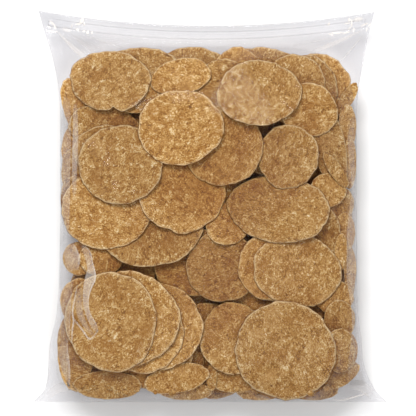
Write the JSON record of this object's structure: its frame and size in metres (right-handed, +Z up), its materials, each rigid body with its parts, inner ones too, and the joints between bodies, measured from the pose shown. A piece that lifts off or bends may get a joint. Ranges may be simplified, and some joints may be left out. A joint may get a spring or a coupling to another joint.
{
  "type": "clear bag of papads",
  "caption": "Clear zip-top bag lying on its back, sealed and packed full of thin round sun-dried sago papads that overlap under the film.",
  "frame": {"origin": "on the surface the bag lies on, below the middle of its bounding box", "axes": "+Y from the folded foot to the zip, +Z up through the front of the bag"},
  "size_m": [0.2668, 0.2954, 0.065],
  "materials": {
    "papad": "dry, mottled, slightly translucent wafer",
    "film": "clear gloss film"
  },
  "bodies": {
    "root": {"papad_bag": "papad"}
  },
  "joints": []
}
